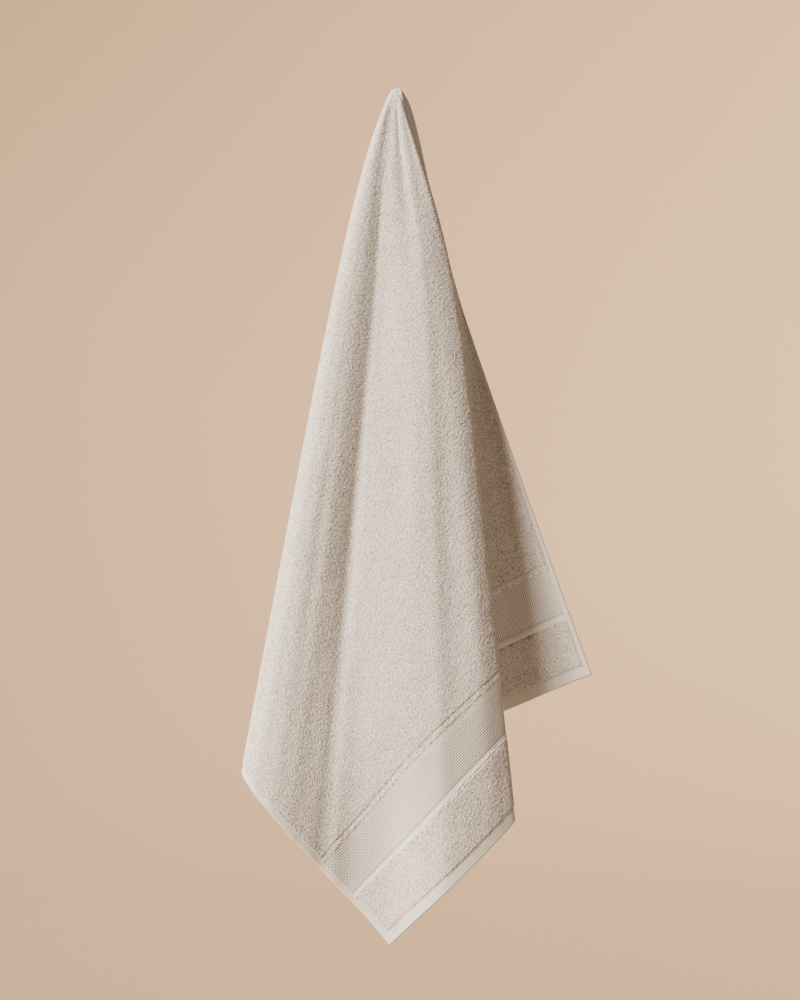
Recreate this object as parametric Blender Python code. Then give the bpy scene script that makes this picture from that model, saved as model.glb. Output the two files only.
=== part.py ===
# Bath towel of cotton terry, hung from one point on a long edge and folded by its own weight.
# The cloth is one rectangle. A point of it is known by its distance and its angle from the
# hanging point. The fold table says where each angle of the cloth lies in a level section of
# the hang, and the outline functions say how wide and how deep that section is.
import bpy
import numpy as np

# The flat cloth, in metres
CLOTH_WIDTH = 0.68
TRAILING_LENGTH = 0.72
HIDDEN_LENGTH = 0.68
CLOTH_THICKNESS = 0.0030

# Share of the depth of the hang that one layer takes where the folds crowd near the top
LAYER_SHARE = 0.028

# Share of a tight fold's radius that half the cloth takes, so the inside of the fold stays open
FOLD_SHARE = 0.42

# Each row is one angle of the cloth, in degrees from the long edge that trails on the right.
# across: 0 at the left outline, 1 at the front right fold
# trail: how far past the front right fold, 1 at the trailing edge
# high, low: how far out from the wall side, 1 at the foremost ridge, near the top and lower down
# soft: half the width that the fold is rounded over, in degrees of cloth
# give: how much longer the cloth hangs there than it measures flat, as a share
FOLD_COLUMNS = ("cloth", "across", "trail", "high", "low", "soft", "give")
FOLDS = (
    (0.0, 1.00, 1.00, 0.13, 0.13, 0.8, 0.003),
    (2.0, 1.00, 0.78, 0.17, 0.09, 0.9, 0.003),
    (4.5, 1.00, 0.47, 0.24, 0.12, 1.0, 0.006),
    (7.0, 1.00, 0.16, 0.34, 0.28, 1.0, 0.011),
    (8.6, 1.00, 0.00, 0.45, 0.45, 0.9, 0.013),
    (10.5, 0.93, 0.00, 0.55, 0.55, 0.9, 0.010),
    (15.0, 0.73, 0.00, 0.57, 0.565, 1.2, 0.005),
    (19.4, 0.53, 0.00, 0.57, 0.565, 0.7, 0.003),
    (20.2, 0.50, 0.00, 0.585, 0.585, 0.6, 0.002),
    (20.8, 0.50, 0.00, 0.63, 0.63, 0.6, 0.002),
    (21.6, 0.53, 0.00, 0.645, 0.645, 0.7, 0.002),
    (26.5, 0.75, 0.00, 0.65, 0.645, 1.2, 0.006),
    (31.2, 0.965, 0.00, 0.635, 0.615, 0.7, 0.010),
    (32.1, 1.00, 0.00, 0.665, 0.64, 0.6, 0.012),
    (32.7, 1.00, 0.00, 0.735, 0.69, 0.6, 0.012),
    (33.6, 0.965, 0.00, 0.80, 0.725, 0.8, 0.012),
    (36.0, 0.87, 0.00, 0.90, 0.845, 1.2, 0.013),
    (39.0, 0.745, 0.00, 0.97, 0.985, 1.2, 0.013),
    (41.5, 0.64, 0.00, 0.95, 0.97, 1.5, 0.010),
    (43.4, 0.565, 0.00, 0.93, 0.935, 1.4, 0.006),
    (46.0, 0.455, 0.00, 0.90, 0.88, 1.2, 0.0095),
    (48.0, 0.368, 0.00, 0.85, 0.825, 1.0, 0.013),
    (49.0, 0.33, 0.00, 0.825, 0.765, 1.2, 0.0145),
    (50.6, 0.27, 0.00, 0.87, 0.865, 0.9, 0.019),
    (52.2, 0.20, 0.00, 0.935, 0.955, 1.0, 0.0225),
    (54.0, 0.125, 0.00, 0.96, 0.995, 1.0, 0.023),
    (55.6, 0.055, 0.00, 0.93, 0.965, 0.8, 0.022),
    (57.0, 0.00, 0.00, 0.80, 0.83, 0.7, 0.0165),
    (58.0, 0.00, 0.00, 0.65, 0.675, 0.6, 0.012),
    (59.0, 0.04, 0.00, 0.53, 0.535, 0.6, 0.009),
    (62.0, 0.16, 0.00, 0.49, 0.495, 1.2, 0.000),
    (70.0, 0.50, 0.00, 0.49, 0.485, 2.0, 0.000),
    (79.0, 0.85, 0.00, 0.485, 0.48, 0.8, 0.000),
    (80.0, 0.885, 0.00, 0.47, 0.47, 0.7, 0.000),
    (80.8, 0.885, 0.00, 0.42, 0.42, 0.7, 0.000),
    (81.8, 0.85, 0.00, 0.405, 0.405, 0.8, 0.000),
    (92.0, 0.50, 0.00, 0.405, 0.41, 2.0, 0.000),
    (102.4, 0.08, 0.00, 0.405, 0.40, 0.8, 0.000),
    (103.4, 0.04, 0.00, 0.39, 0.385, 0.7, 0.000),
    (104.2, 0.04, 0.00, 0.34, 0.34, 0.7, 0.000),
    (105.2, 0.08, 0.00, 0.325, 0.325, 0.8, 0.000),
    (115.0, 0.48, 0.00, 0.33, 0.335, 2.0, 0.000),
    (125.2, 0.865, 0.00, 0.325, 0.325, 0.8, 0.000),
    (126.2, 0.90, 0.00, 0.31, 0.31, 0.7, 0.000),
    (127.0, 0.90, 0.00, 0.26, 0.26, 0.7, 0.000),
    (128.0, 0.865, 0.00, 0.245, 0.245, 0.8, 0.000),
    (135.0, 0.56, 0.00, 0.25, 0.25, 1.2, 0.000),
    (146.2, 0.08, 0.00, 0.245, 0.245, 0.8, 0.000),
    (147.2, 0.04, 0.00, 0.23, 0.235, 0.7, 0.000),
    (148.0, 0.04, 0.00, 0.185, 0.19, 0.7, 0.000),
    (149.0, 0.08, 0.00, 0.17, 0.175, 0.8, 0.000),
    (158.0, 0.46, 0.00, 0.175, 0.18, 2.0, 0.000),
    (167.2, 0.83, 0.00, 0.17, 0.17, 0.8, 0.000),
    (168.2, 0.865, 0.00, 0.155, 0.155, 0.7, 0.000),
    (169.0, 0.865, 0.00, 0.11, 0.105, 0.7, 0.000),
    (170.0, 0.83, 0.00, 0.095, 0.085, 0.8, 0.000),
    (174.0, 0.68, 0.00, 0.10, 0.055, 1.5, 0.000),
    (180.0, 0.40, 0.00, 0.095, 0.075, 1.0, 0.000),
)

# The cloth corners, in degrees of cloth
FRONT_CORNER = float(np.degrees(np.arctan2(CLOTH_WIDTH, TRAILING_LENGTH)))
HIDDEN_CORNER = 180.0 - float(np.degrees(np.arctan2(CLOTH_WIDTH, HIDDEN_LENGTH)))

# Where the section passes from its high shape to its low one, in metres below the hanging point
HIGH_END = 0.08
LOW_START = 0.50

# The mesh
COLUMN_COUNT = 112
DEGREES_A_COLUMN = 2.6
TURN_A_COLUMN = 26.0
ROW_SHARES = (
    0.006, 0.014, 0.025, 0.04, 0.06, 0.09, 0.13, 0.18, 0.24, 0.31, 0.385,
    0.46, 0.535, 0.61, 0.685, 0.755, 0.82, 0.88, 0.935, 0.975, 1.0,
)


def fold_column(name):
    return np.array([row[FOLD_COLUMNS.index(name)] for row in FOLDS])


def left_outline(drop):
    return -(0.0085 * (1 - np.exp(-drop / 0.0018)) + 0.0225 * (1 - np.exp(-drop / 0.100)) + 0.188 * drop)


def right_outline(drop):
    return 0.002 * (1 - np.exp(-drop / 0.003)) + 0.0408 * np.tanh((drop / 0.186) ** 1.35) + 0.106 * drop


def trailing_outline(drop):
    start = 0.008 * (1 - np.exp(-drop / 0.010)) - 0.021 * (1 - np.exp(-((drop / 0.130) ** 2)))
    return start + 0.330 * drop + 0.012 * (drop / 0.680) ** 2


def wall_side(drop):
    return 0.010 * (1 - np.exp(-drop / 0.015))


def depth(drop):
    return 0.024 * (1 - np.exp(-drop / 0.015)) + 0.075 * drop


def rounded(name, angles):
    """A column of the fold table at these angles, its corners rounded over the soft width."""
    cloth = fold_column("cloth")
    room = np.minimum(angles - cloth[0], cloth[-1] - angles)
    width = np.minimum(np.interp(angles, cloth, fold_column("soft")), room)
    steps = np.linspace(-1, 1, 17)
    weights = 1 + np.cos(np.pi * steps)
    weights /= weights.sum()
    spread = angles[:, None] + width[:, None] * steps[None, :]
    return np.interp(spread, cloth, fold_column(name)) @ weights


def section(angles):
    return {name: rounded(name, angles) for name in ("across", "trail", "high", "low", "give")}


def place(curve, drop):
    """Points at these drops below the hanging point, on the section curve."""
    left = left_outline(drop)
    right = right_outline(drop)
    lower = np.clip((drop - HIGH_END) / (LOW_START - HIGH_END), 0, 1)
    out = curve["high"] + (curve["low"] - curve["high"]) * lower
    x = left + curve["across"] * (right - left) + curve["trail"] * (trailing_outline(drop) - right)
    y = wall_side(drop) - out * depth(drop)
    return np.stack([x, y, -drop], axis=-1)


def reach(angles):
    """Distance on the cloth from the hanging point to the edge, at each angle."""
    turn = np.radians(angles)
    nearly_none = 1e-9
    to_side = CLOTH_WIDTH / np.maximum(np.sin(turn), nearly_none)
    to_trailing_end = TRAILING_LENGTH / np.maximum(np.cos(turn), nearly_none)
    to_hidden_end = HIDDEN_LENGTH / np.maximum(-np.cos(turn), nearly_none)
    to_end = np.where(angles < 90, to_trailing_end, to_hidden_end)
    return np.minimum(to_side, to_end)


def column_angles():
    """Angles closer together where the section turns sharply, with one at each cloth corner."""
    fine = np.linspace(0, 180, 3601)
    path = place(section(fine), np.full(fine.shape, LOW_START))[:, :2]
    facing = np.unwrap(np.arctan2(np.gradient(path[:, 1]), np.gradient(path[:, 0])))
    turning = np.abs(np.gradient(np.degrees(facing)))
    measure = np.gradient(fine) / DEGREES_A_COLUMN + turning / TURN_A_COLUMN
    total = np.concatenate([[0], np.cumsum((measure[1:] + measure[:-1]) / 2)])
    angles = np.interp(np.linspace(0, total[-1], COLUMN_COUNT), total, fine)
    for corner in (FRONT_CORNER, HIDDEN_CORNER):
        angles[np.argmin(np.abs(angles - corner))] = corner
    return angles


def hang(angles, shares):
    """Middle surface of the cloth: the drop is where the length along the cloth fits."""
    curve = section(angles)
    drops = np.concatenate([[0], np.geomspace(0.0005, 1.05, 400)])
    edge = reach(angles)
    middle = np.zeros((len(shares), len(angles), 3))
    for column in range(len(angles)):
        here = {name: values[column] for name, values in curve.items()}
        line = place(here, drops)
        length = np.concatenate([[0], np.cumsum(np.linalg.norm(np.diff(line, axis=0), axis=1))])
        drop = np.interp(shares * edge[column] * (1 + here["give"]), length, drops)
        middle[:, column] = place(here, drop)
    return middle


def unit(vectors):
    return vectors / np.linalg.norm(vectors, axis=-1, keepdims=True)


def heading(points, axis):
    """Direction at each point of a grid, halfway between those of the steps on its two sides."""
    steps = unit(np.diff(points, axis=axis))
    first = np.take(steps, [0], axis=axis)
    last = np.take(steps, [-1], axis=axis)
    before = np.concatenate([first, steps], axis=axis)
    after = np.concatenate([steps, last], axis=axis)
    return unit(before + after)


def fold_radius(middle):
    """Radius that the cloth is bent to at each point, across the folds."""
    steps = np.diff(middle, axis=1)
    lengths = np.linalg.norm(steps, axis=2)
    turning = np.arccos(np.clip((unit(steps[:, 1:]) * unit(steps[:, :-1])).sum(axis=2), -1, 1))
    radius = (lengths[:, 1:] + lengths[:, :-1]) / 2 / np.maximum(turning, 1e-6)
    return np.pad(radius, ((0, 0), (1, 1)), mode="edge")


def cloth_mesh():
    """Front and back of the cloth, joined round its edge, with one point where it hangs."""
    angles = column_angles()
    shares = np.array(ROW_SHARES)
    middle = hang(angles, shares)
    normal = unit(np.cross(heading(middle, 0), heading(middle, 1)))
    half = np.minimum(CLOTH_THICKNESS, LAYER_SHARE * depth(-middle[..., 2])) / 2
    half = np.minimum(half, FOLD_SHARE * fold_radius(middle))
    rows, columns = half.shape
    sides = (middle + normal * half[..., None], middle - normal * half[..., None])
    points = [(0.0, 0.0, 0.0)]
    for side in sides:
        points.extend(map(tuple, side.reshape(-1, 3)))

    def vertex(side, row, column):
        return 1 + side * rows * columns + row * columns + column

    faces = []
    for column in range(columns - 1):
        faces.append((0, vertex(0, 0, column), vertex(0, 0, column + 1)))
        faces.append((0, vertex(1, 0, column + 1), vertex(1, 0, column)))
        for row in range(rows - 1):
            near, far = column, column + 1
            faces.append((vertex(0, row, near), vertex(0, row + 1, near), vertex(0, row + 1, far)))
            faces.append((vertex(0, row, near), vertex(0, row + 1, far), vertex(0, row, far)))
            faces.append((vertex(1, row, near), vertex(1, row + 1, far), vertex(1, row + 1, near)))
            faces.append((vertex(1, row, near), vertex(1, row, far), vertex(1, row + 1, far)))
        last = rows - 1
        faces.append((vertex(0, last, column), vertex(1, last, column), vertex(1, last, column + 1)))
        faces.append((vertex(0, last, column), vertex(1, last, column + 1), vertex(0, last, column + 1)))
    end = columns - 1
    faces.append((0, vertex(1, 0, 0), vertex(0, 0, 0)))
    faces.append((0, vertex(0, 0, end), vertex(1, 0, end)))
    for row in range(rows - 1):
        faces.append((vertex(0, row, 0), vertex(1, row, 0), vertex(1, row + 1, 0)))
        faces.append((vertex(0, row, 0), vertex(1, row + 1, 0), vertex(0, row + 1, 0)))
        faces.append((vertex(0, row, end), vertex(1, row + 1, end), vertex(1, row, end)))
        faces.append((vertex(0, row, end), vertex(0, row + 1, end), vertex(1, row + 1, end)))
    return points, faces


def clear_scene():
    for item in list(bpy.data.objects):
        bpy.data.objects.remove(item, do_unlink=True)


def terry_material():
    material = bpy.data.materials.new("cotton_terry")
    material.use_nodes = True
    shader = material.node_tree.nodes["Principled BSDF"]
    shader.inputs["Base Color"].default_value = (0.62, 0.57, 0.51, 1.0)
    shader.inputs["Roughness"].default_value = 0.95
    return material


def build_towel():
    points, faces = cloth_mesh()
    mesh = bpy.data.meshes.new("towel")
    mesh.from_pydata(points, [], faces)
    mesh.materials.append(terry_material())
    mesh.update()
    towel = bpy.data.objects.new("towel", mesh)
    bpy.context.scene.collection.objects.link(towel)


clear_scene()
build_towel()
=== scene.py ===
import math

import bpy
import numpy as np
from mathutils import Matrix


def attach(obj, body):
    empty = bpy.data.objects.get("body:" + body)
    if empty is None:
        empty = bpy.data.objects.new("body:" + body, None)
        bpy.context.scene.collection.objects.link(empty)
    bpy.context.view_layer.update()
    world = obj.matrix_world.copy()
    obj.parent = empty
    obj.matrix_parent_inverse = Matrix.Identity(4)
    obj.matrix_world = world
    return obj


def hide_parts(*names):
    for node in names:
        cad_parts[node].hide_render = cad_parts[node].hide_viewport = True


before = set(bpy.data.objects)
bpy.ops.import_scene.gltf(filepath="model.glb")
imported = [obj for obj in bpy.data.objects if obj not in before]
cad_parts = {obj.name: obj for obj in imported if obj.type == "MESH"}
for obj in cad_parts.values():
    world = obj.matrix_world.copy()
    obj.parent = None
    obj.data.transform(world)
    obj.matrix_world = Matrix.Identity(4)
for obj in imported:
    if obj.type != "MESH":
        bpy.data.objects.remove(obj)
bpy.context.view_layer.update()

MM = 0.001

# The flat cloth, in metres
CLOTH_WIDTH = 0.68
TRAILING_LENGTH = 0.72
HIDDEN_LENGTH = 0.68

# Bands of the cloth in metres, the side hem measured from a long edge and the rest from a short one
END_HEM = 0.0128
SIDE_HEM = 0.0065
RIDGE_START = 0.0705
CORD_START = 0.0750
CORD_END = 0.0770
GRID_START = 0.0825
GRID_END = 0.1310
CRINKLE_END = 0.1385
GROOVE_END = 0.1396
BOW_END = 0.30

# Each row: a distance down the cloth, and how far the woven band bows up from its place there
BOWS = (
    (0.00, 0.0),
    (0.20, 0.0),
    (0.36, 0.0070),
    (0.44, 0.0088),
    (0.50, 0.0070),
    (0.56, 0.0010),
    (0.60, -0.0020),
    (0.68, 0.0005),
)

# The bow is averaged over this distance to either side, in this many steps
BOW_ROUNDING = 0.03
BOW_STEPS = 13

# Heights above the middle of the cloth, in metres
PILE_HEIGHT = 1.75 * MM
GRID_HEIGHT = 0.95 * MM
HEM_HEIGHT = 1.15 * MM

# The whole cloth lies under the pieces in fine relief: its share of their heights, and its least height
CORE_SHARE = 0.62
THINNEST = 0.02 * MM

# Width over which the cloth's own edge is rounded
EDGE_WIDTH = 1.3 * MM

# Spacing of the waffle weave, close to what its periods measure in the photograph
GRID_PITCH_DOWN = 2.50 * MM
GRID_PITCH_ALONG = 2.70 * MM

# How low the weave lies between the ribs beside the cord, where 1 is its raised lines and -1 its holes
BETWEEN_RIBS = -0.15

# Where the grid's rows and its long ribs begin to show, and where they are at their full height
ROWS_FADE = (GRID_START - 0.6 * MM, GRID_START + 0.2 * MM)
RIBS_FADE = (CORD_END - 0.4 * MM, CORD_END + 1.6 * MM)

# How far the border's weave, its cord, the sunk lines beside that and the ridge leave its middle height
WEAVE_HEIGHT = 0.36 * MM
CORD_HEIGHT = 0.20 * MM
SUNK_DEPTH = 0.30 * MM
RIDGE_HEIGHT = 0.50 * MM
RIDGE_UNEVEN = 0.30 * MM

# How dark the border's sunk lines are, and the feet of the pile above it and of its own ridge
SUNK_SHADE = 0.55
PILE_FOOT_SHADE = 0.50
RIDGE_FOOT_SHADE = 0.30

# Heights of the weave, from 1 to -1, at which the painted shade of its holes starts and is at its
# darkest
HOLES_FADE = (0.30, -0.45)

# Spacing of the clumps and loops of the terry, and of the gaps between them
LOOP_CLUMP = 2.3 * MM
LOOP_SIZE = 1.1 * MM
LOOP_GAP = 2.3 * MM

# How far the clumps, the loops and the broad unevenness of the pile stand up
CLUMP_HEIGHT = 0.60 * MM
LOOP_HEIGHT = 0.34 * MM
BROAD_HEIGHT = 0.12 * MM

# Distances from the middle of a clump or loop, in clumps or loops, at which the pile has its set height
# and past which it darkens, and how fast it does
CLUMP_LEVEL = 0.55
CLUMP_GAP = 0.50
CLUMP_SHADE = 0.7
LOOP_LEVEL = 0.5
LOOP_SHADE = 0.4

# How ragged the edge of the pile is, broadly and finely, and how much of that shows along the side hem
RAGGED_BROAD = 0.7 * MM
RAGGED_FINE = 0.5 * MM
RAGGED_BY_SIDE = 0.4

# Width of the slope at the edge of the pile, beside the end hem and beside the side hem
END_SLOPE = 3.4 * MM
SIDE_SLOPE = 2.6 * MM

# The crinkled rope of loops above the border: the width of its edges, how much of the pile's own
# unevenness it evens out, how far it crinkles and sinks, how much painted shade its dips take and how
# much painted light it takes
ROPE_EDGE = 1.2 * MM
ROPE_EVENING = 0.6
ROPE_CRINKLE = 0.55 * MM
ROPE_SINK = 0.22 * MM
ROPE_SHADE = 0.7
ROPE_PAINTED_LIGHT = 0.35

# The groove above the rope
GROOVE_DEPTH = 0.42 * MM
GROOVE_SHADE = 0.50

# The pile comes down to these shares of the hem's and the grid's height
HEM_FOOT = 0.85
GRID_FOOT = 1.15

# How far the pile is sunk in dots beside the ridge
BROKEN_DEPTH = 0.45 * MM

# The hems: how uneven they are, their stitches, and their threads, which are drawn coarse enough to show
HEM_UNEVEN = 0.05 * MM
STITCH_DEPTH = 0.22 * MM
STITCH_LENGTH = 2.6 * MM
STITCH_UNEVEN = 0.35
STITCH_SHADE = 0.28
HEM_THREADS = 0.9 * MM

# Each row is one angle of the cloth, in degrees from the long edge that trails on the right.
# across: 0 at the left outline, 1 at the front right fold
# trail: how far past the front right fold, 1 at the trailing edge
# high, low: how far out from the wall side, 1 at the foremost ridge, near the top and lower down
# soft: half the width that the fold is rounded over, in degrees of cloth
# give: how much longer the cloth hangs there than it measures flat, as a share
FOLD_COLUMNS = ("cloth", "across", "trail", "high", "low", "soft", "give")
FOLDS = (
    (0.0, 1.00, 1.00, 0.13, 0.13, 0.8, 0.003),
    (2.0, 1.00, 0.78, 0.17, 0.09, 0.9, 0.003),
    (4.5, 1.00, 0.47, 0.24, 0.12, 1.0, 0.006),
    (7.0, 1.00, 0.16, 0.34, 0.28, 1.0, 0.011),
    (8.6, 1.00, 0.00, 0.45, 0.45, 0.9, 0.013),
    (10.5, 0.93, 0.00, 0.55, 0.55, 0.9, 0.010),
    (15.0, 0.73, 0.00, 0.57, 0.565, 1.2, 0.005),
    (19.4, 0.53, 0.00, 0.57, 0.565, 0.7, 0.003),
    (20.2, 0.50, 0.00, 0.585, 0.585, 0.6, 0.002),
    (20.8, 0.50, 0.00, 0.63, 0.63, 0.6, 0.002),
    (21.6, 0.53, 0.00, 0.645, 0.645, 0.7, 0.002),
    (26.5, 0.75, 0.00, 0.65, 0.645, 1.2, 0.006),
    (31.2, 0.965, 0.00, 0.635, 0.615, 0.7, 0.010),
    (32.1, 1.00, 0.00, 0.665, 0.64, 0.6, 0.012),
    (32.7, 1.00, 0.00, 0.735, 0.69, 0.6, 0.012),
    (33.6, 0.965, 0.00, 0.80, 0.725, 0.8, 0.012),
    (36.0, 0.87, 0.00, 0.90, 0.845, 1.2, 0.013),
    (39.0, 0.745, 0.00, 0.97, 0.985, 1.2, 0.013),
    (41.5, 0.64, 0.00, 0.95, 0.97, 1.5, 0.010),
    (43.4, 0.565, 0.00, 0.93, 0.935, 1.4, 0.006),
    (46.0, 0.455, 0.00, 0.90, 0.88, 1.2, 0.0095),
    (48.0, 0.368, 0.00, 0.85, 0.825, 1.0, 0.013),
    (49.0, 0.33, 0.00, 0.825, 0.765, 1.2, 0.0145),
    (50.6, 0.27, 0.00, 0.87, 0.865, 0.9, 0.019),
    (52.2, 0.20, 0.00, 0.935, 0.955, 1.0, 0.0225),
    (54.0, 0.125, 0.00, 0.96, 0.995, 1.0, 0.023),
    (55.6, 0.055, 0.00, 0.93, 0.965, 0.8, 0.022),
    (57.0, 0.00, 0.00, 0.80, 0.83, 0.7, 0.0165),
    (58.0, 0.00, 0.00, 0.65, 0.675, 0.6, 0.012),
    (59.0, 0.04, 0.00, 0.53, 0.535, 0.6, 0.009),
    (62.0, 0.16, 0.00, 0.49, 0.495, 1.2, 0.000),
    (70.0, 0.50, 0.00, 0.49, 0.485, 2.0, 0.000),
    (79.0, 0.85, 0.00, 0.485, 0.48, 0.8, 0.000),
    (80.0, 0.885, 0.00, 0.47, 0.47, 0.7, 0.000),
    (80.8, 0.885, 0.00, 0.42, 0.42, 0.7, 0.000),
    (81.8, 0.85, 0.00, 0.405, 0.405, 0.8, 0.000),
    (92.0, 0.50, 0.00, 0.405, 0.41, 2.0, 0.000),
    (102.4, 0.08, 0.00, 0.405, 0.40, 0.8, 0.000),
    (103.4, 0.04, 0.00, 0.39, 0.385, 0.7, 0.000),
    (104.2, 0.04, 0.00, 0.34, 0.34, 0.7, 0.000),
    (105.2, 0.08, 0.00, 0.325, 0.325, 0.8, 0.000),
    (115.0, 0.48, 0.00, 0.33, 0.335, 2.0, 0.000),
    (125.2, 0.865, 0.00, 0.325, 0.325, 0.8, 0.000),
    (126.2, 0.90, 0.00, 0.31, 0.31, 0.7, 0.000),
    (127.0, 0.90, 0.00, 0.26, 0.26, 0.7, 0.000),
    (128.0, 0.865, 0.00, 0.245, 0.245, 0.8, 0.000),
    (135.0, 0.56, 0.00, 0.25, 0.25, 1.2, 0.000),
    (146.2, 0.08, 0.00, 0.245, 0.245, 0.8, 0.000),
    (147.2, 0.04, 0.00, 0.23, 0.235, 0.7, 0.000),
    (148.0, 0.04, 0.00, 0.185, 0.19, 0.7, 0.000),
    (149.0, 0.08, 0.00, 0.17, 0.175, 0.8, 0.000),
    (158.0, 0.46, 0.00, 0.175, 0.18, 2.0, 0.000),
    (167.2, 0.83, 0.00, 0.17, 0.17, 0.8, 0.000),
    (168.2, 0.865, 0.00, 0.155, 0.155, 0.7, 0.000),
    (169.0, 0.865, 0.00, 0.11, 0.105, 0.7, 0.000),
    (170.0, 0.83, 0.00, 0.095, 0.085, 0.8, 0.000),
    (174.0, 0.68, 0.00, 0.10, 0.055, 1.5, 0.000),
    (180.0, 0.40, 0.00, 0.095, 0.075, 1.0, 0.000),
)

# Where the section passes from its high shape to its low one, in metres below the hanging point
HIGH_END = 0.08
LOW_START = 0.50

# How far the two outlines, the trailing edge and the depth widen for each metre of drop
LEFT_SLOPE = 0.188
RIGHT_SLOPE = 0.106
TRAIL_SLOPE = 0.330
DEPTH_SLOPE = 0.075

# The swell of the right outline, the tuck of the trailing edge behind it and its flare lower down:
# how large each is and the drop that it comes over, in metres
RIGHT_SWELL = 0.0408
RIGHT_SWELL_OVER = 0.186
RIGHT_SWELL_POWER = 1.35
TRAIL_TUCK = 0.021
TRAIL_TUCK_OVER = 0.130
TRAIL_FLARE = 0.012
TRAIL_FLARE_OVER = 0.680

# Share of the depth of the hang that one layer takes where the folds crowd near the top
LAYER_SHARE = 0.030

# Soft creases in the front that the solid model leaves out: a trough is above 0 and a ridge below
# cloth: its angle, near and far: where it starts and ends on the cloth, wide: its half width in
# degrees, deep: in metres
CREASE_COLUMNS = ("cloth", "near", "far", "wide", "deep")
CREASES = (
    (37.2, 0.60, 1.16, 1.6, -0.0020),
    (43.8, 0.72, 1.16, 3.0, 0.0130),
    (46.8, 0.74, 1.16, 2.2, 0.0045),
    (48.9, 0.50, 1.16, 1.9, -0.0058),
    (47.3, 0.50, 1.10, 1.8, 0.0020),
    (46.6, 0.10, 0.46, 2.0, 0.0016),
    (49.2, -0.06, 0.18, 1.6, -0.0014),
    (41.4, -0.06, 0.26, 2.2, 0.0026),
    (34.4, 0.20, 1.16, 2.3, -0.0070),
    (33.2, -0.06, 0.22, 2.0, -0.0034),
    (41.2, 0.30, 0.62, 1.5, -0.0010),
    (53.2, 0.35, 0.75, 0.9, 0.0010),
)

# Fineness of the table of drops: how many angles it has, how many lengths past 0, and a length that is
# beyond the cloth's far corners
FINE_ANGLE_COUNT = 3601
FINE_LENGTH_COUNT = 520
LONGEST = 1.06

# How many places each rounded corner of the section is averaged over
ROUNDING_STEPS = 25

# Cells of the whole cloth round the hanging point and out from it, and how strongly and how far the
# first crowd where the cloth turns
CLOTH_COLUMNS = 330
CLOTH_ROWS = 104
TURNING_WEIGHT = 9000
MOST_TURNING = 12

# The whole cloth's rows: how they crowd near the hanging point, how much of the length the last one
# takes, and how far from the hanging point the first one lies
ROW_POWER = 1.35
LAST_ROW = 0.0012
TIP_RADIUS = 0.6 * MM

# Colours of the real cloth, each followed by the colour of painted shade that its dips, gaps, holes,
# grooves and stitches are blended towards
TERRY_LIT = "#EFE5D9"
TERRY_GAP_PAINTED_SHADE = "#84766A"
BORDER_LIT = "#EDE3D7"
BORDER_HOLE_PAINTED_SHADE = "#66594E"
HEM_LIT = "#EAE1D6"
HEM_GAP_PAINTED_SHADE = "#CBC0B3"

# Colours of the studio's plaster
STUDIO_FAR = "#BA9976"
STUDIO_NEAR = "#7A756F"

# Large odd numbers that mix the digits of a place, and the largest number that comes out
MIX_ACROSS = 374761393
MIX_DOWN = 668265263
MIX_SALT = 974634777
MIX_ONCE = 1274126177
MIX_AGAIN = 2246822519
ALL_BITS = 0xFFFFFFFF


# Folds

def fold_column(name):
    return np.array([row[FOLD_COLUMNS.index(name)] for row in FOLDS])


def settling(drop, size, over):
    """Grows from 0 to its size, most of it over this much drop, in metres."""
    return size * (1 - np.exp(-drop / over))


def left_outline(drop):
    tip = settling(drop, size=0.0085, over=0.0018)
    swell = settling(drop, size=0.0225, over=0.100)
    return -(tip + swell + LEFT_SLOPE * drop)


def right_outline(drop):
    tip = settling(drop, size=0.002, over=0.003)
    swell = RIGHT_SWELL * np.tanh((drop / RIGHT_SWELL_OVER) ** RIGHT_SWELL_POWER)
    return tip + swell + RIGHT_SLOPE * drop


def trailing_outline(drop):
    tip = settling(drop, size=0.008, over=0.010)
    tuck = TRAIL_TUCK * (1 - np.exp(-((drop / TRAIL_TUCK_OVER) ** 2)))
    flare = TRAIL_FLARE * (drop / TRAIL_FLARE_OVER) ** 2
    return tip - tuck + TRAIL_SLOPE * drop + flare


def wall_side(drop):
    return settling(drop, size=0.010, over=0.015)


def depth(drop):
    return settling(drop, size=0.024, over=0.015) + DEPTH_SLOPE * drop


def rounded(name, angles):
    """A column of the fold table at these angles, its corners rounded over the soft width."""
    cloth = fold_column("cloth")
    room = np.minimum(angles - cloth[0], cloth[-1] - angles)
    width = np.minimum(np.interp(angles, cloth, fold_column("soft")), room)
    steps = np.linspace(-1, 1, ROUNDING_STEPS)
    weights = 1 + np.cos(np.pi * steps)
    weights /= weights.sum()
    spread = angles[:, None] + width[:, None] * steps[None, :]
    return np.interp(spread, cloth, fold_column(name)) @ weights


def place(curve, drop):
    """Points at these drops below the hanging point, on the section curve."""
    left = left_outline(drop)
    right = right_outline(drop)
    lower = np.clip((drop - HIGH_END) / (LOW_START - HIGH_END), 0, 1)
    out = curve["high"] + (curve["low"] - curve["high"]) * lower
    x = left + curve["across"] * (right - left) + curve["trail"] * (trailing_outline(drop) - right)
    y = wall_side(drop) - out * depth(drop)
    return np.stack([x, y, -drop], axis=-1)


def crowded(shortest):
    """Distances from 0 to the longest, the closer together the nearer they are to 0."""
    return np.concatenate([[0], np.geomspace(shortest, LONGEST, FINE_LENGTH_COUNT)])


# The section at close angles, and the drop that each length of cloth reaches at each of them
FINE_ANGLES = np.linspace(0, 180, FINE_ANGLE_COUNT)
FINE_SECTION = {name: rounded(name, FINE_ANGLES) for name in ("across", "trail", "high", "low", "give")}
FINE_LENGTHS = crowded(shortest=0.0003)


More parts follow.
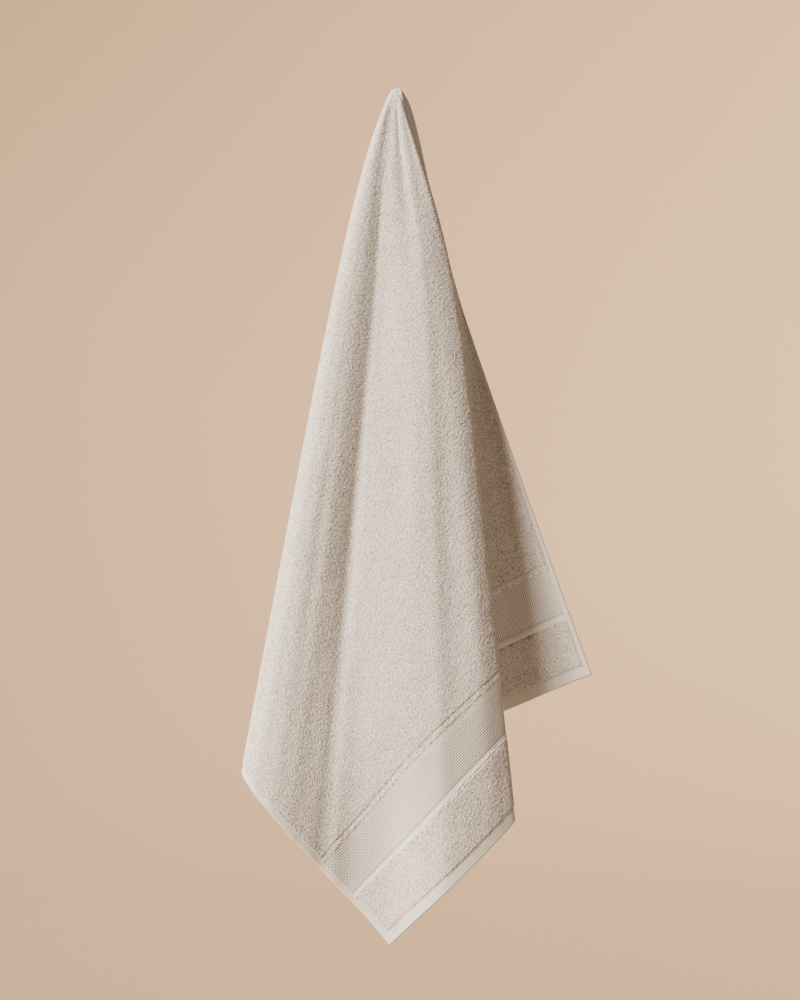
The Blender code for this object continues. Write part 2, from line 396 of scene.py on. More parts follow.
def drop_table():
    drops = crowded(shortest=0.0001)
    rows = []
    for column in range(len(FINE_ANGLES)):
        here = {name: values[column] for name, values in FINE_SECTION.items()}
        line = place(here, drops)
        length = np.concatenate([[0], np.cumsum(np.linalg.norm(np.diff(line, axis=0), axis=1))])
        rows.append(np.interp(FINE_LENGTHS * (1 + here["give"]), length, drops))
    return np.array(rows)


DROPS = drop_table()


def drop_at(angles, lengths):
    """Drop below the hanging point, between the four nearest places of the table."""
    short_of_last = 1.001
    column = angles / (FINE_ANGLES[1] - FINE_ANGLES[0])
    column = np.clip(column, 0, len(FINE_ANGLES) - short_of_last)
    row = np.interp(lengths, FINE_LENGTHS, np.arange(len(FINE_LENGTHS)))
    row = np.clip(row, 0, len(FINE_LENGTHS) - short_of_last)
    left = column.astype(int)
    top = row.astype(int)
    past_left = column - left
    past_top = row - top
    near = DROPS[left, top] * (1 - past_top) + DROPS[left, top + 1] * past_top
    far = DROPS[left + 1, top] * (1 - past_top) + DROPS[left + 1, top + 1] * past_top
    return near * (1 - past_left) + far * past_left


def bump(distance, width):
    """1 at no distance, falling away evenly to both sides over this width."""
    return np.exp(-((distance / width) ** 2))


def crease_depth(angles, lengths):
    total = np.zeros(angles.shape)
    for row in CREASES:
        crease = dict(zip(CREASE_COLUMNS, row))
        middle = (crease["near"] + crease["far"]) / 2
        reach = (crease["far"] - crease["near"]) / 2
        fade = np.clip(1 - ((lengths - middle) / reach) ** 2, 0, 1) ** 2
        total += crease["deep"] * fade * bump(angles - crease["cloth"], crease["wide"])
    return total


def hang(along, down):
    """Where the middle of the cloth hangs, for places on the flat cloth."""
    lengths = np.hypot(along, down)
    angles = np.degrees(np.arctan2(down, along))
    curve = {name: np.interp(angles, FINE_ANGLES, values) for name, values in FINE_SECTION.items()}
    points = place(curve, drop_at(angles, lengths))
    points[..., 1] += crease_depth(angles, lengths)
    return points


def facing(along, down):
    """Unit direction out of the face of the cloth that shows on the front."""
    step = 0.4 * MM
    left = np.maximum(along - step, -HIDDEN_LENGTH)
    right = np.minimum(along + step, TRAILING_LENGTH)
    above = np.maximum(down - step, 0)
    below = np.minimum(down + step, CLOTH_WIDTH)
    by_along = hang(right, down) - hang(left, down)
    by_down = hang(along, below) - hang(along, above)
    out = np.cross(by_down, by_along)
    return out / np.maximum(np.linalg.norm(out, axis=-1, keepdims=True), 1e-12)


# Uneven surfaces

def scatter(i, j, salt):
    """An even spread of numbers from 0 to 1, the same for the same whole numbers."""
    n = (i.astype(np.int64) * MIX_ACROSS + j.astype(np.int64) * MIX_DOWN + salt * MIX_SALT) & ALL_BITS
    n = ((n ^ (n >> 13)) * MIX_ONCE) & ALL_BITS
    n = ((n ^ (n >> 16)) * MIX_AGAIN) & ALL_BITS
    return (n ^ (n >> 15)) / (ALL_BITS + 1.0)


def lumps(u, v, salt):
    """Smooth bumps from -1 to 1, one to each unit of u and v."""
    i = np.floor(u)
    j = np.floor(v)
    across = u - i
    below = v - j
    across = across * across * (3 - 2 * across)
    below = below * below * (3 - 2 * below)
    top = scatter(i, j, salt) * (1 - across) + scatter(i + 1, j, salt) * across
    low = scatter(i, j + 1, salt) * (1 - across) + scatter(i + 1, j + 1, salt) * across
    return 2 * (top * (1 - below) + low * below) - 1


def uneven(u, v, sizes, salt):
    """Smooth bumps from -1 to 1, of these two sizes in millimetres."""
    return lumps(u / (sizes[0] * MM), v / (sizes[1] * MM), salt)


def dots(u, v, sizes, salt, share, contrast):
    """Separate dots from 0 to 1, more of them for a higher share."""
    return np.clip(share + contrast * uneven(u, v, sizes, salt), 0, 1)


def tufts(u, v, salt):
    """Distance to the nearest tuft, with one tuft somewhere in each unit of u and v."""
    i = np.floor(u)
    j = np.floor(v)
    nearest = np.full(u.shape, np.inf)
    for di in (-1, 0, 1):
        for dj in (-1, 0, 1):
            x = i + di + scatter(i + di, j + dj, salt)
            y = j + dj + scatter(i + di, j + dj, salt + 1)
            nearest = np.minimum(nearest, (u - x) ** 2 + (v - y) ** 2)
    return np.sqrt(nearest)


def step_up(value, start, end):
    t = np.clip((value - start) / (end - start), 0, 1)
    return t * t * (3 - 2 * t)


def from_ends(along):
    return np.minimum(TRAILING_LENGTH - along, along + HIDDEN_LENGTH)


def from_sides(down):
    return np.minimum(down, CLOTH_WIDTH - down)


def bowed(along, down):
    """Where a point of the straight bands lies on the cloth, now that the woven band is bowed."""
    places, bows = zip(*BOWS)
    nearby = np.linspace(-BOW_ROUNDING, BOW_ROUNDING, BOW_STEPS)
    spread = np.clip(down[:, None] + nearby[None, :], 0, CLOTH_WIDTH)
    bow = np.interp(spread, places, bows).mean(axis=1)
    end = TRAILING_LENGTH - along
    share = step_up(end, END_HEM, RIDGE_START) * (1 - step_up(end, GROOVE_END, BOW_END))
    return along - bow * share


def pile_relief(along, down):
    """Height and shade of terry: loops gathered in small clumps, with dark gaps between them."""
    clump = tufts(along / LOOP_CLUMP, down / LOOP_CLUMP, salt=11)
    loop = tufts(along / LOOP_SIZE, down / LOOP_SIZE, salt=23)
    height = CLUMP_HEIGHT * (CLUMP_LEVEL - clump) + LOOP_HEIGHT * (LOOP_LEVEL - loop)
    height += BROAD_HEIGHT * uneven(along, down, (9, 9), salt=31)
    shade = CLUMP_SHADE * (clump - CLUMP_GAP) + LOOP_SHADE * (loop - LOOP_LEVEL)
    return PILE_HEIGHT + height, np.clip(shade, 0, 1)


def smooth_height(along, down):
    """Height of each band of the cloth, without its loops or grid."""
    end = from_ends(along)
    side = from_sides(down)
    pile = step_up(end, END_HEM - 0.5 * MM, END_HEM + 1.0 * MM)
    pile *= step_up(side, SIDE_HEM - 0.4 * MM, SIDE_HEM + 0.8 * MM)
    height = HEM_HEIGHT + (PILE_HEIGHT - HEM_HEIGHT) * pile
    grid = step_up(end, RIDGE_START, RIDGE_START + 1 * MM)
    grid *= 1 - step_up(end, GRID_END, GRID_END + 1 * MM)
    grid *= step_up(side, SIDE_HEM - 0.4 * MM, SIDE_HEM)
    return height + (GRID_HEIGHT - height) * grid


def edge_round(along, down):
    """Share of the height left near the cloth's own edge, so that the edge is round."""
    edge = np.minimum(from_ends(along), from_sides(down))
    left = np.clip(edge / EDGE_WIDTH, 0, 1)
    return np.sqrt(np.clip(1 - (1 - left) ** 2, 0, 1))


def terry_relief(along, down):
    """Terry up to its bands, with the crinkled rope of loops above the border and ragged pile edges."""
    end = from_ends(along)
    side = from_sides(down)
    height, shade = pile_relief(along, down)
    ragged = RAGGED_BROAD * uneven(down, end, (3.3, 4), salt=41)
    ragged += RAGGED_FINE * uneven(along + down, end, (1.8, 4), salt=42)

    # The rope of loops, and the groove above it
    crinkle = 0.6 * uneven(down, end, (3.0, 4.5), salt=43)
    crinkle += 0.4 * uneven(down, end, (1.7, 2), salt=44)
    rope = step_up(end, GRID_END + ragged, GRID_END + ragged + ROPE_EDGE)
    rope *= 1 - step_up(end, CRINKLE_END - ROPE_EDGE, CRINKLE_END)
    height = height + rope * (ROPE_EVENING * (PILE_HEIGHT - height) + ROPE_CRINKLE * crinkle - ROPE_SINK)
    # Painted light on the rope, and painted shade in its dips and in the groove
    shade = shade * (1 - rope) + rope * (ROPE_SHADE * np.clip(-crinkle, 0, 1) - ROPE_PAINTED_LIGHT)
    groove = step_up(end, CRINKLE_END - 0.5 * MM, CRINKLE_END)
    groove *= 1 - step_up(end, GROOVE_END, GROOVE_END + 0.4 * MM)
    height = height - GROOVE_DEPTH * groove
    shade = shade + GROOVE_SHADE * groove

    # The pile's edges, which slope down to the hem or to the grid
    cut = step_up(end, END_HEM - ragged, END_HEM - ragged + END_SLOPE)
    side_start = SIDE_HEM + RAGGED_BY_SIDE * ragged
    cut *= step_up(side, side_start, side_start + SIDE_SLOPE)
    low_edge = 1 - step_up(end, RIDGE_START - 1.2 * MM + ragged, RIDGE_START + ragged)
    high_edge = step_up(end, GRID_END + ragged, GRID_END + ragged + 2.0 * MM)
    cut *= np.maximum(low_edge, high_edge)
    by_hem = (end < (END_HEM + RIDGE_START) / 2) | (side < SIDE_HEM + 2 * MM)
    foot = np.where(by_hem, HEM_FOOT * HEM_HEIGHT, GRID_FOOT * GRID_HEIGHT)

    # Dots of painted shade where the pile breaks up beside the grid and the ridge; beside the ridge the
    # pile also sinks in them
    by_grid = (1 - step_up(end, GRID_END + 1.2 * MM, GRID_END + 2.8 * MM)) * (end > CORD_END)
    by_ridge = step_up(end, RIDGE_START - 5 * MM, RIDGE_START - 2.5 * MM) * (end < CORD_END)
    shade_dots = dots(down, end, (2.4, 1.8), salt=71, share=0.1, contrast=1.6)
    height = height * cut + (1 - cut) * foot - BROKEN_DEPTH * by_ridge * shade_dots
    return height, np.clip(shade * cut + (by_grid + by_ridge) * shade_dots, -ROPE_PAINTED_LIGHT, 1)


def border_relief(along, down):
    """Waffle grid, its long ribs, the cord between two sunk lines, and the ridge towards the hem."""
    end = from_ends(along)
    rows = np.cos(2 * np.pi * (end - GRID_START) / GRID_PITCH_ALONG)
    columns = np.cos(2 * np.pi * down / GRID_PITCH_DOWN)
    in_grid = step_up(end, *ROWS_FADE)
    past_cord = step_up(end, *RIBS_FADE)
    weave = np.maximum((rows - BETWEEN_RIBS) * in_grid + BETWEEN_RIBS, columns) * past_cord
    sunk = bump(end - CORD_END - 0.4 * MM, 0.6 * MM)
    sunk += 0.6 * bump(end - CORD_START + 0.2 * MM, 0.5 * MM)
    cord = bump(end - (CORD_START + CORD_END) / 2, 0.7 * MM)
    ridge = bump(end - (RIDGE_START + CORD_START) / 2, 2.3 * MM)
    ridge *= RIDGE_HEIGHT + RIDGE_UNEVEN * uneven(down, end, (4.2, 3), salt=47)
    height = GRID_HEIGHT + WEAVE_HEIGHT * weave - SUNK_DEPTH * sunk + CORD_HEIGHT * cord + ridge

    # Dots of shade at the foot of the pile above and at the foot of the ridge
    pile_foot = step_up(end, GRID_END - 1.4 * MM, GRID_END)
    pile_foot *= dots(down, end, (2.4, 3), salt=59, share=0, contrast=1.6)
    ridge_foot = 1 - step_up(end, RIDGE_START, RIDGE_START + 1.2 * MM)
    ridge_foot *= dots(down, end, (2.8, 3), salt=61, share=0.25, contrast=1)
    shade = SUNK_SHADE * sunk + PILE_FOOT_SHADE * pile_foot + RIDGE_FOOT_SHADE * ridge_foot
    return height, np.clip(shade, 0, 1)


def hem_relief(along, down):
    """Flat plain weave turned twice, with one sunk line of stitches near its inner edge."""
    end = from_ends(along)
    side = from_sides(down)
    height = HEM_HEIGHT + HEM_UNEVEN * uneven(along, down, (5, 5), salt=53)
    end_stitch = bump(end - (END_HEM - 1.6 * MM), 0.5 * MM)
    side_stitch = bump(side - (SIDE_HEM - 1.0 * MM), 0.4 * MM)
    dimple = 1 - STITCH_UNEVEN + STITCH_UNEVEN * np.cos(2 * np.pi * (along + down) / STITCH_LENGTH)
    stitch = np.maximum(end_stitch, side_stitch) * dimple
    height = height - STITCH_DEPTH * stitch
    return height * edge_round(along, down), STITCH_SHADE * stitch


RELIEFS = {"terry": terry_relief, "border": border_relief, "hem": hem_relief}


# Meshes

def clear_selection():
    if bpy.context.object and bpy.context.object.mode != "OBJECT":
        bpy.ops.object.mode_set(mode="OBJECT")
    bpy.ops.object.select_all(action="DESELECT")


def cloth_grid(name, columns, rows):
    """A flat grid of this many cells, to be hung by its points."""
    clear_selection()
    bpy.ops.mesh.primitive_grid_add(x_subdivisions=columns, y_subdivisions=rows, size=2)
    piece = bpy.context.object
    piece.name = name
    piece.data.name = name
    flat = np.empty(len(piece.data.vertices) * 3)
    piece.data.vertices.foreach_get("co", flat)
    flat = flat.reshape(-1, 3)
    return piece, (flat[:, 0] + 1) / 2, (flat[:, 1] + 1) / 2


def set_points(piece, points):
    piece.data.vertices.foreach_set("co", np.ascontiguousarray(points, np.float32).ravel())
    piece.data.update()


def set_cloth_map(piece, along, down):
    """The UV map holds the place on the flat cloth, in metres."""
    corners = np.empty(len(piece.data.loops), np.int32)
    piece.data.loops.foreach_get("vertex_index", corners)
    for layer in list(piece.data.uv_layers):
        piece.data.uv_layers.remove(layer)
    layer = piece.data.uv_layers.new(name="cloth")
    places = np.stack([along[corners], down[corners]], axis=1)
    layer.data.foreach_set("uv", places.astype(np.float32).ravel())


def set_shade(piece, shade):
    layer = piece.data.attributes.new("shade", "FLOAT", "POINT")
    layer.data.foreach_set("value", shade.astype(np.float32))


def delete_points(piece, unwanted):
    clear_selection()
    bpy.context.view_layer.objects.active = piece
    piece.select_set(True)
    bpy.context.tool_settings.mesh_select_mode = (True, False, False)
    piece.data.polygons.foreach_set("select", np.zeros(len(piece.data.polygons), bool))
    piece.data.edges.foreach_set("select", np.zeros(len(piece.data.edges), bool))
    piece.data.vertices.foreach_set("select", unwanted)
    bpy.ops.object.mode_set(mode="EDIT")
    bpy.ops.mesh.delete(type="VERT")
    bpy.ops.object.mode_set(mode="OBJECT")


def finish_piece(piece, material):
    piece.data.materials.clear()
    piece.data.materials.append(material)
    piece.data.polygons.foreach_set("use_smooth", np.ones(len(piece.data.polygons), bool))
    piece.data.update()
    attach(piece, "root")
    return piece


def skin(name, band, material, along_range, down_range, cell, angle_range):
    """One band of the cloth's front face in fine relief, cut off where the folds hide it."""
    along_size = along_range[1] - along_range[0]
    down_size = down_range[1] - down_range[0]
    columns = max(2, round(along_size / cell))
    rows = max(2, round(down_size / cell))
    piece, u, v = cloth_grid(name, columns, rows)
    along = along_range[0] + u * along_size
    down = down_range[0] + v * down_size
    lying = bowed(along, down)

    # Near the angles where the folds hide it, the band sinks into the whole cloth, and it ends a cell
    # and a half past them
    least_distance = 0.01
    angles = np.degrees(np.arctan2(down, lying))
    beyond = np.maximum(angle_range[0] - angles, angles - angle_range[1])
    margin = np.degrees(cell * 1.5 / np.maximum(np.hypot(lying, down), least_distance))
    height, shade = RELIEFS[band](along, down)
    height = height * step_up(-beyond, 0, 2 * margin)
    set_points(piece, hang(lying, down) + facing(lying, down) * height[:, None])
    set_cloth_map(piece, along, down)
    set_shade(piece, shade)
    delete_points(piece, beyond > margin)
    return finish_piece(piece, material)


# Materials

def linear(hex_colour):
    """sRGB hex to the linear colour that a shader takes."""
    channels = [int(hex_colour[i:i + 2], 16) / 255 for i in (1, 3, 5)]
    return tuple(c / 12.92 if c <= 0.04045 else ((c + 0.055) / 1.055) ** 2.4 for c in channels) + (1.0,)


def add_node(tree, kind, inputs=(), **settings):
    """Adds a node with its settings, and links or values for its inputs."""
    made = tree.nodes.new(kind)
    for name, value in settings.items():
        setattr(made, name, value)
    for name, value in dict(inputs).items():
        if isinstance(value, bpy.types.NodeSocket):
            tree.links.new(value, made.inputs[name])
        else:
            made.inputs[name].default_value = value
    return made


def maths(tree, operation, *values):
    inputs = {index: value for index, value in enumerate(values)}
    return add_node(tree, "ShaderNodeMath", inputs, operation=operation).outputs[0]


def weighted_sum(tree, terms):
    """Sum of value times weight over the (weight, value) terms."""
    total = 0.0
    for weight, value in terms:
        total = maths(tree, "MULTIPLY_ADD", value, weight, total)
    return total


def between(tree, value, start, end):
    """0 below start, 1 above end, and a soft rise between them."""
    inputs = {"Value": value, "From Min": start, "From Max": end}
    return add_node(tree, "ShaderNodeMapRange", inputs, interpolation_type="SMOOTHSTEP").outputs[0]


def blend_colour(tree, share, first, second):
    made = add_node(tree, "ShaderNodeMix", {}, data_type="RGBA")
    for socket, value in ((made.inputs[0], share), (made.inputs[6], first), (made.inputs[7], second)):
        if isinstance(value, bpy.types.NodeSocket):
            tree.links.new(value, socket)
        else:
            socket.default_value = value
    return made.outputs[2]


def raised_lines(tree, distance, spacing):
    """1 on lines at this spacing and -1 midway between them."""
    return maths(tree, "COSINE", maths(tree, "MULTIPLY", distance, 2 * math.pi / spacing))


def relief_shade(tree):
    """The painted shade that the relief keeps at each point of the mesh, and painted light where it is
    below 0.
    """
    return add_node(tree, "ShaderNodeAttribute", attribute_name="shade").outputs["Fac"]


def cloth_places(tree):
    """Distances on the flat cloth from the nearer short and long edges, and along and down it."""
    flat = add_node(tree, "ShaderNodeUVMap", uv_map="cloth").outputs[0]
    split = add_node(tree, "ShaderNodeSeparateXYZ", {0: flat})
    along = split.outputs[0]
    down = split.outputs[1]
    to_trailing_end = maths(tree, "SUBTRACT", TRAILING_LENGTH, along)
    to_hidden_end = maths(tree, "ADD", along, HIDDEN_LENGTH)
    from_end = maths(tree, "MINIMUM", to_trailing_end, to_hidden_end)
    from_side = maths(tree, "MINIMUM", down, maths(tree, "SUBTRACT", CLOTH_WIDTH, down))
    return {"end": from_end, "side": from_side, "down": down, "along": along}


def terry_finish(tree, places):
    """Undyed cotton loops: soft and matt, with painted shade between the loops and where the relief
    keeps shade, and a faint random mottling.
    """
    spot = add_node(tree, "ShaderNodeTexCoord").outputs["Object"]
    longer = add_node(tree, "ShaderNodeMapping", {"Vector": spot, "Scale": (1.0, 1.0, 0.72)}).outputs[0]
    grain = {"Vector": longer, "Scale": 1 / LOOP_SIZE, "Detail": 1.0, "Distortion": 0.5}
    loops = add_node(tree, "ShaderNodeTexNoise", grain).outputs[0]
    cells = {"Vector": longer, "Scale": 1 / LOOP_GAP}
    between_loops = add_node(tree, "ShaderNodeTexVoronoi", cells).outputs["Distance"]
    patches = {"Vector": spot, "Scale": 1 / (40 * MM), "Detail": 2.0}
    broad = add_node(tree, "ShaderNodeTexNoise", patches).outputs[0]
    shade = relief_shade(tree)
    gap = between(tree, between_loops, 0.52, 0.16)
    # Painted shade: how far each spot goes from the lit colour towards the shade colour
    dark = weighted_sum(tree, (
        (0.56, between(tree, loops, 0.64, 0.34)),
        (0.30, gap),
        (0.05, between(tree, broad, 0.65, 0.35)),
        (0.45, shade),
    ))
    colour = blend_colour(tree, maths(tree, "MINIMUM", dark, 1.0), linear(TERRY_LIT), linear(TERRY_GAP_PAINTED_SHADE))
    return colour, weighted_sum(tree, ((1.7 * MM, loops), (-0.5 * MM, gap)))


def border_finish(tree, places):
    """Flat woven waffle: thin raised lines round small sunk squares, with painted shade in the squares
    and where the relief keeps shade.
    """
    past_start = maths(tree, "SUBTRACT", places["end"], GRID_START)
    rows = raised_lines(tree, past_start, GRID_PITCH_ALONG)
    columns = raised_lines(tree, places["down"], GRID_PITCH_DOWN)
    in_grid = between(tree, places["end"], *ROWS_FADE)
    past_cord = between(tree, places["end"], *RIBS_FADE)
    above_ribs = maths(tree, "SUBTRACT", rows, BETWEEN_RIBS)
    rows_in_grid = maths(tree, "MULTIPLY_ADD", above_ribs, in_grid, BETWEEN_RIBS)
    weave = maths(tree, "MULTIPLY", maths(tree, "MAXIMUM", rows_in_grid, columns), past_cord)
    # Painted shade in the sunk squares
    hole = maths(tree, "MULTIPLY", between(tree, weave, *HOLES_FADE), past_cord)
    shade = relief_shade(tree)
    dark = maths(tree, "MINIMUM", weighted_sum(tree, ((1.0, hole), (0.8, shade))), 1.0)
    colour = blend_colour(tree, dark, linear(BORDER_LIT), linear(BORDER_HOLE_PAINTED_SHADE))
    return colour, maths(tree, "MULTIPLY", weave, 0.30 * MM)


def hem_finish(tree, places):
    """Plain weave of the turned edge: fine crossing threads, with painted shade between them and in the
    stitches.
    """
    threads = [raised_lines(tree, places[direction], HEM_THREADS) for direction in ("along", "down")]
    weave = maths(tree, "MULTIPLY", threads[0], threads[1])
    shade = relief_shade(tree)
    # Painted shade between the threads and in the stitches
    dark = maths(tree, "MINIMUM", maths(tree, "ADD", between(tree, weave, 1.2, -1.2), shade), 1.0)
    colour = blend_colour(tree, maths(tree, "MULTIPLY", dark, 0.6), linear(HEM_LIT), linear(HEM_GAP_PAINTED_SHADE))
    return colour, maths(tree, "MULTIPLY", weave, 0.05 * MM)


def whole_cloth_finish(tree, places):
    """Terry, border and hem, each in its own band of the flat cloth."""
    colour, height = terry_finish(tree, places)
    border_colour, border_height = border_finish(tree, places)
    hem_colour, hem_height = hem_finish(tree, places)
    past_ridge = between(tree, places["end"], RIDGE_START, RIDGE_START + 0.8 * MM)
    below_pile = between(tree, places["end"], GRID_END + 0.8 * MM, GRID_END)
    in_border = maths(tree, "MULTIPLY", past_ridge, below_pile)
    past_end_hem = between(tree, places["end"], END_HEM, END_HEM + 0.8 * MM)
    past_side_hem = between(tree, places["side"], SIDE_HEM, SIDE_HEM + 0.6 * MM)
    in_pile = maths(tree, "MULTIPLY", past_end_hem, past_side_hem)
    in_hem = maths(tree, "SUBTRACT", 1.0, in_pile)
    colour = blend_colour(tree, in_border, colour, border_colour)
    colour = blend_colour(tree, in_hem, colour, hem_colour)
    border_height = maths(tree, "MULTIPLY", in_border, border_height)
    hem_height = maths(tree, "MULTIPLY", in_hem, hem_height)
    terry_height = maths(tree, "MULTIPLY", maths(tree, "SUBTRACT", in_pile, in_border), height)
    return colour, maths(tree, "ADD", terry_height, maths(tree, "ADD", border_height, hem_height))


def cotton(name, colour_and_height, strength):
    """Cotton has no gloss: rough, with a faint sheen from its loose fibres."""
    material = bpy.data.materials.new(name)
    material.use_nodes = True
    tree = material.node_tree
    shader = tree.nodes["Principled BSDF"]
    colour, height = colour_and_height(tree, cloth_places(tree))
    tree.links.new(colour, shader.inputs["Base Color"])
    relief = add_node(tree, "ShaderNodeBump", {"Height": height, "Strength": strength, "Distance": 1.0})
    tree.links.new(relief.outputs[0], shader.inputs["Normal"])
    shader.inputs["Roughness"].default_value = 0.95
    shader.inputs["Specular IOR Level"].default_value = 0.25
    shader.inputs["Sheen Weight"].default_value = 0.12
    shader.inputs["Sheen Roughness"].default_value = 0.6
    return material


# The towel

def cloth_angles():
    """Angles of the whole cloth's columns: close where the folds turn, with one at each far corner."""
    turning = np.zeros(len(FINE_ANGLES))
    for name in ("across", "low"):
        turning += np.abs(np.gradient(np.gradient(FINE_SECTION[name]))) * TURNING_WEIGHT
    total = np.cumsum(1 + np.minimum(turning, MOST_TURNING))
    angles = np.interp(np.linspace(total[0], total[-1], CLOTH_COLUMNS + 1), total, FINE_ANGLES)
    corner = np.degrees(np.arctan2(CLOTH_WIDTH, TRAILING_LENGTH))
    hidden_corner = 180 - np.degrees(np.arctan2(CLOTH_WIDTH, HIDDEN_LENGTH))
    for angle in (corner, hidden_corner):
        angles[np.argmin(np.abs(angles - angle))] = angle
    return angles


def edge_distance(angle):
    """How far the edge of the flat cloth is from the hanging point, in this direction."""
    barely = 1e-9
    to_side = CLOTH_WIDTH / np.maximum(np.sin(angle), barely)
    to_trailing_end = TRAILING_LENGTH / np.maximum(np.cos(angle), barely)
    to_hidden_end = HIDDEN_LENGTH / np.maximum(-np.cos(angle), barely)
    to_end = np.where(np.cos(angle) > 0, to_trailing_end, to_hidden_end)
    return np.minimum(to_side, to_end)


def join_faces(front, back):
    """Joins the two faces into one piece and closes it round the edge of the cloth."""
    clear_selection()
    for part in (back, front):
        part.select_set(True)
    bpy.context.view_layer.objects.active = front
    bpy.ops.object.join()
    bpy.ops.object.mode_set(mode="EDIT")
    bpy.ops.mesh.select_all(action="DESELECT")
    bpy.ops.mesh.select_mode(type="EDGE")
    bpy.ops.mesh.select_non_manifold()
    bpy.ops.mesh.bridge_edge_loops()
    bpy.ops.mesh.select_all(action="SELECT")
    bpy.ops.mesh.normals_make_consistent(inside=False)
    bpy.ops.object.mode_set(mode="OBJECT")


def whole_cloth(material):
    """Both faces of the whole cloth, joined round its edge."""
    shares = np.linspace(0, 1, CLOTH_ROWS + 1) ** ROW_POWER
    shares[-2] = 1 - LAST_ROW
    piece, u, v = cloth_grid("towel_cloth", CLOTH_COLUMNS, CLOTH_ROWS)
    column = np.rint(u * CLOTH_COLUMNS).astype(int)
    row = np.rint(v * CLOTH_ROWS).astype(int)
    angle = np.radians(cloth_angles()[column])
    length = np.maximum(shares[row] * edge_distance(angle), TIP_RADIUS)
    along = np.clip(length * np.cos(angle), -HIDDEN_LENGTH, TRAILING_LENGTH)
    down = np.clip(length * np.sin(angle), 0, CLOTH_WIDTH)
    middle = hang(along, down)
    half = smooth_height(along, down) * CORE_SHARE * edge_round(along, down)
    half = np.minimum(half, LAYER_SHARE * depth(-middle[:, 2]) / 2)
    half = np.maximum(half, THINNEST)
    out = facing(along, down) * half[:, None]
    set_points(piece, middle + out)
    set_cloth_map(piece, along, down)
    back = piece.copy()
    back.data = piece.data.copy()
    bpy.context.collection.objects.link(back)
    set_points(back, middle - out)
    join_faces(piece, back)
    return finish_piece(piece, material)


def build_towel():
    materials = {
        "terry": cotton("cotton_terry_loops", terry_finish, strength=0.35),
        "border": cotton("woven_waffle_border", border_finish, strength=0.5),
        "hem": cotton("plain_woven_hem", hem_finish, strength=0.6),
    }
    cloth = whole_cloth(cotton("towel_cotton_whole", whole_cloth_finish, strength=0.8))
    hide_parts("towel")

    # Neighbouring bands overlap a little
    hem_line = TRAILING_LENGTH - END_HEM
    side_line = CLOTH_WIDTH - SIDE_HEM
    above_grid = TRAILING_LENGTH - GRID_END
    grid = (above_grid - 1.2 * MM, TRAILING_LENGTH - RIDGE_START + 0.4 * MM)
    below_grid = (grid[1] - 1 * MM, hem_line + 1 * MM)
    end_hem = (hem_line - 0.5 * MM, TRAILING_LENGTH)
    by_side_hem = side_line + 1 * MM
    by_trailing_hem = SIDE_HEM - 1 * MM

    # Each row: name, band, where it lies along and down the cloth, and the size of its cells
    front_bands = (
        ("front_terry_high", "terry", (0.0, 0.345), (0.0, 0.46), 0.92 * MM),
        ("front_terry_left", "terry", (0.2, above_grid), (0.46, by_side_hem), 0.92 * MM),
        ("front_terry_right", "terry", (0.345, above_grid), (0.19, 0.46), 0.92 * MM),
        ("front_border", "border", grid, (0.36, side_line), 0.62 * MM),
        ("front_terry_low", "terry", below_grid, (0.38, by_side_hem), 0.95 * MM),
        ("front_end_hem", "hem", end_hem, (0.40, CLOTH_WIDTH), 0.8 * MM),
        ("front_side_hem", "hem", (0.38, end_hem[0]), (side_line - 0.5 * MM, CLOTH_WIDTH), 0.8 * MM),
    )
    trailing_bands = (
        ("back_terry", "terry", (0.02, above_grid), (by_trailing_hem, 0.115), 1.2 * MM),
        ("back_border", "border", grid, (SIDE_HEM, 0.13), 0.65 * MM),
        ("back_terry_low", "terry", below_grid, (by_trailing_hem, 0.14), 0.95 * MM),
        ("back_end_hem", "hem", end_hem, (0.0, 0.14), 0.8 * MM),
        ("back_side_hem", "hem", (0.01, end_hem[0]), (0.0, SIDE_HEM + 0.5 * MM), 0.8 * MM),
    )
    front_angles = (31.6, 59.2)
    trailing_angles = (-1.0, 10.5)
    for bands, angle_range in ((front_bands, front_angles), (trailing_bands, trailing_angles)):
        for name, band, along_range, down_range, cell in bands:
            skin(name, band, materials[band], along_range, down_range, cell, angle_range)
    return cloth


# Studio

def plaster():
    """Matt plaster, warm behind the towel, and darker and greyer to the right and in front."""
    material = bpy.data.materials.new("matt_pale_plaster")
    material.use_nodes = True
    tree = material.node_tree
    shader = tree.nodes["Principled BSDF"]
    spot = add_node(tree, "ShaderNodeTexCoord").outputs["Object"]
    split = add_node(tree, "ShaderNodeSeparateXYZ", {0: spot})
    nearness = maths(tree, "SUBTRACT", split.outputs[0], split.outputs[1])
    share = between(tree, nearness, -1.0, 4.0)
    colour = blend_colour(tree, share, linear(STUDIO_FAR), linear(STUDIO_NEAR))
    tree.links.new(colour, shader.inputs["Base Color"])
    shader.inputs["Roughness"].default_value = 0.9
    return material


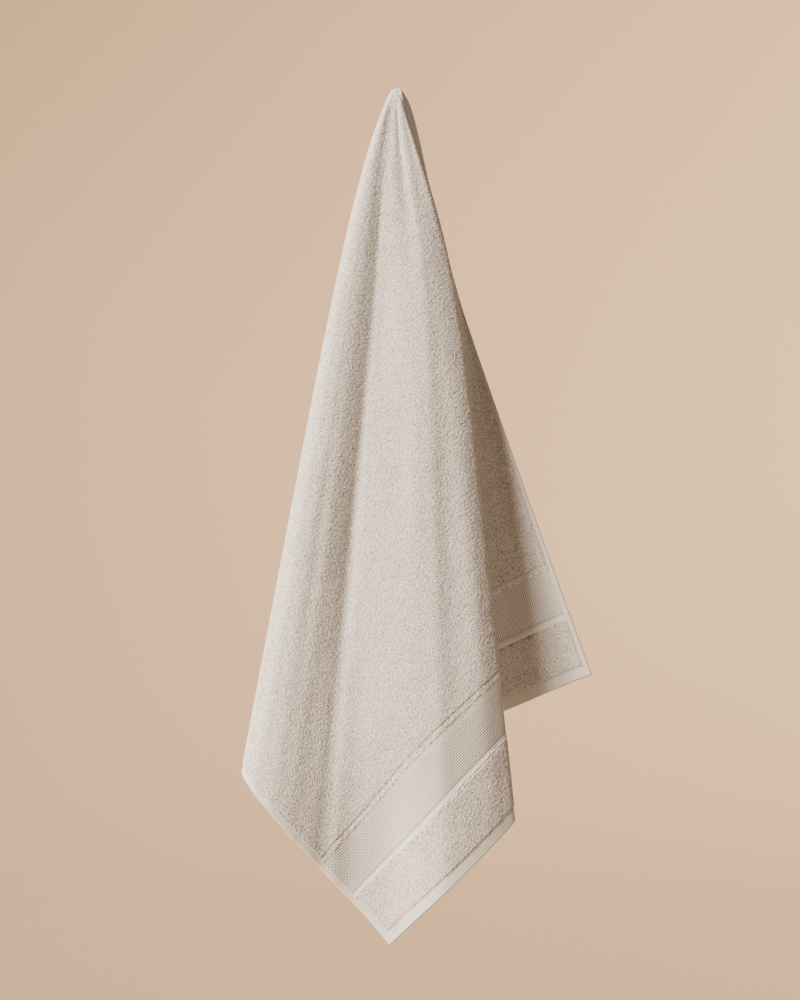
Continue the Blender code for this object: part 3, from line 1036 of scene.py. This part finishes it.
def studio():
    """A round floor whose rim sweeps up in one even curve, far from the towel and open above."""
    floor_radius = 4.5
    floor_sides = 128
    floor_level = (0, 0, -1.45)
    sweep = 4.0
    sweep_turn = 80
    sweep_steps = 24
    clear_selection()
    bpy.ops.mesh.primitive_circle_add(
        vertices=floor_sides, radius=floor_radius, fill_type="NGON", location=floor_level)
    floor = bpy.context.object
    floor.name = "studio_floor"
    bpy.ops.object.transform_apply(location=True)
    bpy.ops.object.mode_set(mode="EDIT")
    bpy.ops.mesh.select_mode(type="EDGE")
    bpy.ops.mesh.select_all(action="DESELECT")
    bpy.ops.mesh.select_non_manifold()
    radius = floor_radius
    height = 0.0
    for step in range(1, sweep_steps + 1):
        turn = math.radians(sweep_turn) * step / sweep_steps
        next_radius = floor_radius + sweep * math.sin(turn)
        next_height = sweep * (1 - math.cos(turn))
        rise = (0, 0, next_height - height)
        bpy.ops.mesh.extrude_edges_move(TRANSFORM_OT_translate={"value": rise})
        grow = next_radius / radius
        bpy.ops.transform.resize(value=(grow, grow, 1), center_override=(0, 0, 0))
        radius = next_radius
        height = next_height
    bpy.ops.object.mode_set(mode="OBJECT")
    floor.data.polygons.foreach_set("use_smooth", np.ones(len(floor.data.polygons), bool))
    floor.data.materials.append(plaster())


def sun_light(name, azimuth, elevation, softness, strength, hex_colour):
    """A far soft light. Azimuth is degrees to the left of the camera, elevation is above level."""
    light = bpy.data.lights.new(name, "SUN")
    light.angle = math.radians(softness)
    light.energy = strength
    light.color = linear(hex_colour)[:3]
    lamp = bpy.data.objects.new(name, light)
    bpy.context.scene.collection.objects.link(lamp)
    lamp.rotation_euler = (math.radians(90 - elevation), 0, math.radians(-azimuth))


def lights():
    sun_light("window_light", azimuth=64, elevation=30, softness=28, strength=13.6, hex_colour="#FFF6EA")
    world = bpy.data.worlds.new("studio_air")
    bpy.context.scene.world = world
    world.use_nodes = True
    background = world.node_tree.nodes["Background"]
    background.inputs["Color"].default_value = linear("#EDEBE8")
    background.inputs["Strength"].default_value = 0.10


def camera():
    """Level with the middle of the picture, four metres in front of the hanging point."""
    distance = 4.0
    picture_height = 1.165
    sensor = 36.0
    aim_across = 0.001
    aim_height = -0.480
    lens = bpy.data.cameras.new("photo_camera")
    lens.sensor_width = sensor
    lens.lens = sensor * distance / picture_height
    lens.clip_end = 60
    eye = bpy.data.objects.new("photo_camera", lens)
    eye.location = (aim_across, -distance, aim_height)
    eye.rotation_euler = (math.pi / 2, 0, 0)
    bpy.context.scene.collection.objects.link(eye)
    bpy.context.scene.camera = eye


camera()
build_towel()
studio()
lights()
